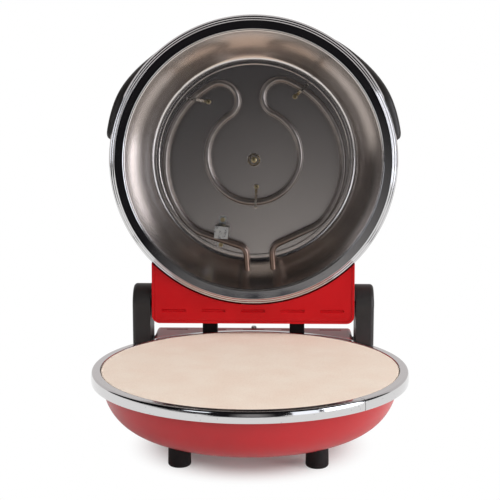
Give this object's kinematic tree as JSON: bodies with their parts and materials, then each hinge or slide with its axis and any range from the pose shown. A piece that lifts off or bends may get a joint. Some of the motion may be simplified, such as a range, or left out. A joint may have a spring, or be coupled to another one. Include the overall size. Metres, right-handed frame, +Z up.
{
  "type": "electric pizza maker",
  "caption": "Countertop pizza maker with a round stone-floored base and a domed lid that swings up on a rear hinge.",
  "frame": {"origin": "on the surface that it stands on, under the centre of its bounding box with the lid open", "axes": "+Z up; +Y towards the rear, where the hinge is; +X to the right of someone facing the front"},
  "size_m": [0.3304, 0.4062, 0.4407],
  "materials": {
    "enamel_red": "gloss baked enamel",
    "chrome": "polished",
    "pan_steel": "spun, satin",
    "heater_sheath": "annealed, satin",
    "stone": "matt, fine grain",
    "black_plastic": "moulded, satin",
    "rubber": "matt",
    "plated_steel": "zinc plated",
    "yellow_zinc": "yellow passivated",
    "fibre": "matt felt",
    "steatite": "unglazed",
    "lamp_lens": "clear moulded"
  },
  "bodies": {
    "base": {"base_bowl": "enamel_red", "base_ring": "chrome", "base_liner": "pan_steel", "baking_stone": "stone", "lower_element": "heater_sheath", "lower_element_clips": "plated_steel", "lower_clip_screws": "plated_steel", "lower_element_ferrules": "plated_steel", "base_insulation": "fibre", "thermal_cutout": "steatite", "front_feet": "rubber", "rear_feet": "rubber", "foot_screws": "plated_steel", "foot_nuts": "plated_steel", "lower_housing": "enamel_red", "lower_housing_plate": "enamel_red", "plate_screws": "plated_steel", "cover_screw": "plated_steel", "hinge_arm_left": "black_plastic", "hinge_arm_right": "black_plastic", "arm_screws": "plated_steel", "hub_caps": "black_plastic", "cord_gland": "rubber", "lower_terminal_block": "steatite"},
    "lid": {"lid_dome": "enamel_red", "lid_ring": "chrome", "lid_pan": "pan_steel", "upper_element": "heater_sheath", "element_clips": "yellow_zinc", "clip_screws": "yellow_zinc", "element_ferrules": "plated_steel", "centre_washer": "yellow_zinc", "centre_bolt": "yellow_zinc", "centre_post": "plated_steel", "sensor_strap": "plated_steel", "sensor_button": "plated_steel", "sensor_screws": "yellow_zinc", "lid_insulation": "fibre", "lid_handle": "black_plastic", "handle_screws": "plated_steel", "upper_housing": "enamel_red", "upper_housing_panel": "enamel_red", "hinge_pins": "plated_steel", "rear_buffers": "rubber", "buffer_screws": "plated_steel", "thermostat_body": "plated_steel", "indicator_lamps": "lamp_lens", "upper_terminal_block": "steatite"},
    "knob": {"thermostat_knob": "black_plastic"}
  },
  "joints": [
    {"name": "lid_hinge", "type": "hinge", "parent": "base", "child": "lid", "pos_m": [0, 0.12359, 0.113], "axis": [1, 0, 0], "range_deg": [0, 93.3]},
    {"name": "knob_turn", "type": "hinge", "parent": "lid", "child": "knob", "pos_m": [-0.082, 0.14731, 0.11083], "axis": [0, -0.9983, 0.0576], "range_deg": [0, 285]}
  ]
}
